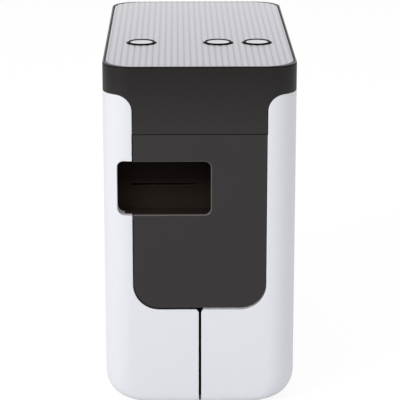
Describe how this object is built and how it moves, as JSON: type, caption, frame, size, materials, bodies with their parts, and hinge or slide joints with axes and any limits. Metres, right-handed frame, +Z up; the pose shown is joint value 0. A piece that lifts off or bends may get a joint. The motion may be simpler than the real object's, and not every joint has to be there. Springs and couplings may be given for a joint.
{
  "type": "label maker",
  "caption": "Upright desktop label printer with white side shells, a black cap with push buttons on a ribbed silver top, a front tape exit and a hinged cassette door.",
  "frame": {"origin": "on the table under the middle of the case", "axes": "+Z up, the front with the tape exit faces -Y, +X to the right of someone facing the front"},
  "size_m": [0.078, 0.152, 0.1436],
  "materials": {
    "black_cap": "satin moulded black plastic",
    "black_panel": "satin moulded black plastic",
    "black_rear": "fine-grained black plastic",
    "dark_plastic": "matt black plastic",
    "silver_plate": "silver plate with fine grooves",
    "button_silver": "silver painted plastic",
    "white_shell": "smooth white plastic",
    "rubber": "soft black rubber",
    "steel": "bright steel",
    "aluminium": "milled",
    "ceramic": "glazed ceramic",
    "motor_can": "zinc-plated can",
    "grey_frame": "grey moulded plastic",
    "gear_plastic": "natural acetal",
    "brass": "machined",
    "cassette": "moulded cassette plastic",
    "tape": "laminated tape",
    "ribbon": "ink film",
    "cell": "plain sleeve",
    "board": "solder mask",
    "component": "moulded package"
  },
  "bodies": {
    "case": {"arm_pivot_pin": "steel", "base_screws": "steel", "base_tray": "dark_plastic", "battery_cells": "cell", "board_components": "component", "button_board": "board", "cassette_case": "cassette", "cassette_lid": "cassette", "chassis": "grey_frame", "contact_plates": "steel", "contact_springs": "steel", "cutter_gear_pin": "steel", "cutter_motor": "motor_can", "cutter_pivot_pin": "steel", "cutter_plate": "steel", "dc_jack": "dark_plastic", "exit_chute": "dark_plastic", "feed_motor": "motor_can", "fixed_blade": "steel", "front_panel": "black_panel", "gear_plate": "steel", "gear_plate_screws": "steel", "gear_shafts": "steel", "head_plate": "aluminium", "hinge_pin": "steel", "label_tape": "tape", "main_board": "board", "print_head": "ceramic", "rear_cover": "black_rear", "right_shell": "white_shell", "rubber_feet": "rubber", "shell_screws": "steel", "tact_switches": "component", "top_cover": "black_cap", "top_plate": "silver_plate", "usb_socket": "steel"},
    "door": {"cassette_door": "white_shell"},
    "arm": {"platen_arm": "grey_frame"},
    "platen": {"platen_roller": "rubber", "platen_shaft": "steel", "platen_gear": "gear_plastic"},
    "drive_wheel": {"drive_gear": "gear_plastic"},
    "reduction_wheel": {"reduction_gear": "gear_plastic"},
    "feed_pinion": {"motor_pinion": "brass"},
    "ribbon_drive": {"ribbon_gear": "gear_plastic", "ribbon_takeup_spool": "ribbon"},
    "tape_roll": {"label_tape_roll": "tape"},
    "ribbon_supply": {"ribbon_roll": "ribbon"},
    "cutter": {"cutter_lever": "grey_frame", "moving_blade": "steel"},
    "cutter_wheel": {"cutter_gear": "gear_plastic"},
    "cutter_drive": {"cutter_pinion": "brass"},
    "power_key": {"power_button": "button_silver", "power_button_ring": "dark_plastic"},
    "mode_key": {"mode_button": "button_silver", "mode_button_ring": "dark_plastic"},
    "feed_key": {"feed_button": "button_silver", "feed_button_ring": "dark_plastic"},
    "battery_lid": {"battery_cover": "dark_plastic"}
  },
  "joints": [
    {"name": "door_hinge", "type": "hinge", "parent": "case", "child": "door", "pos_m": [-0.029, 0.0738, 0.07], "axis": [0, 0, -1], "range_deg": [0, 90]},
    {"name": "arm_lift", "type": "hinge", "parent": "case", "child": "arm", "pos_m": [0, 0.004, 0.112], "axis": [-1, 0, 0], "range_deg": [0, 6]},
    {"name": "drive_spin", "type": "hinge", "parent": "case", "child": "drive_wheel", "pos_m": [0, -0.0206, 0.08186], "axis": [1, 0, 0], "continuous": true},
    {"name": "platen_spin", "type": "hinge", "parent": "arm", "child": "platen", "pos_m": [0, -0.031, 0.098], "axis": [1, 0, 0], "continuous": true},
    {"name": "reduction_spin", "type": "hinge", "parent": "case", "child": "reduction_wheel", "pos_m": [0, -0.0036, 0.08642], "axis": [1, 0, 0], "continuous": true},
    {"name": "feed_pinion_spin", "type": "hinge", "parent": "case", "child": "feed_pinion", "pos_m": [0, 0.00998, 0.1], "axis": [1, 0, 0], "continuous": true},
    {"name": "ribbon_spin", "type": "hinge", "parent": "case", "child": "ribbon_drive", "pos_m": [0, -0.01712, 0.06217], "axis": [1, 0, 0], "continuous": true},
    {"name": "tape_roll_spin", "type": "hinge", "parent": "case", "child": "tape_roll", "pos_m": [0, 0.012, 0.066], "axis": [1, 0, 0], "continuous": true},
    {"name": "ribbon_supply_spin", "type": "hinge", "parent": "case", "child": "ribbon_supply", "pos_m": [0, -0.028, 0.046], "axis": [1, 0, 0], "continuous": true},
    {"name": "cutter_swing", "type": "hinge", "parent": "case", "child": "cutter", "pos_m": [0.009, -0.0632, 0.091], "axis": [0, -1, 0], "range_deg": [0, 16]},
    {"name": "cutter_wheel_turn", "type": "hinge", "parent": "case", "child": "cutter_wheel", "pos_m": [0.0214, -0.0632, 0.06952], "axis": [0, -1, 0], "range_deg": [-70.67, 4]},
    {"name": "cutter_drive_turn", "type": "hinge", "parent": "case", "child": "cutter_drive", "pos_m": [0.0214, -0.0632, 0.05272], "axis": [0, -1, 0], "range_deg": [-10, 176.67]},
    {"name": "power_press", "type": "slide", "parent": "case", "child": "power_key", "axis": [0, 0, -1], "range_m": [0, 0.0008], "stiffness_N_per_m": 400, "springref_m": -0.0005},
    {"name": "mode_press", "type": "slide", "parent": "case", "child": "mode_key", "axis": [0, 0, -1], "range_m": [0, 0.0008], "stiffness_N_per_m": 400, "springref_m": -0.0005},
    {"name": "feed_press", "type": "slide", "parent": "case", "child": "feed_key", "axis": [0, 0, -1], "range_m": [0, 0.0008], "stiffness_N_per_m": 400, "springref_m": -0.0005},
    {"name": "battery_lid_hinge", "type": "hinge", "parent": "case", "child": "battery_lid", "pos_m": [0, -0.0527, 0.00155], "axis": [-1, 0, 0], "range_deg": [0, 75]}
  ],
  "couplings": [
    {"joint": "arm_lift", "follows": "door_hinge", "ratio": 0.066667},
    {"joint": "platen_spin", "follows": "drive_spin", "ratio": -1.6667},
    {"joint": "reduction_spin", "follows": "drive_spin", "ratio": -2.1429},
    {"joint": "feed_pinion_spin", "follows": "drive_spin", "ratio": 6.4286},
    {"joint": "ribbon_spin", "follows": "drive_spin", "ratio": -1.5},
    {"joint": "tape_roll_spin", "follows": "drive_spin", "ratio": 0.45833},
    {"joint": "ribbon_supply_spin", "follows": "drive_spin", "ratio": 1.1458},
    {"joint": "cutter_wheel_turn", "follows": "cutter_swing", "ratio": -4.1667},
    {"joint": "cutter_drive_turn", "follows": "cutter_swing", "ratio": 10.417}
  ]
}
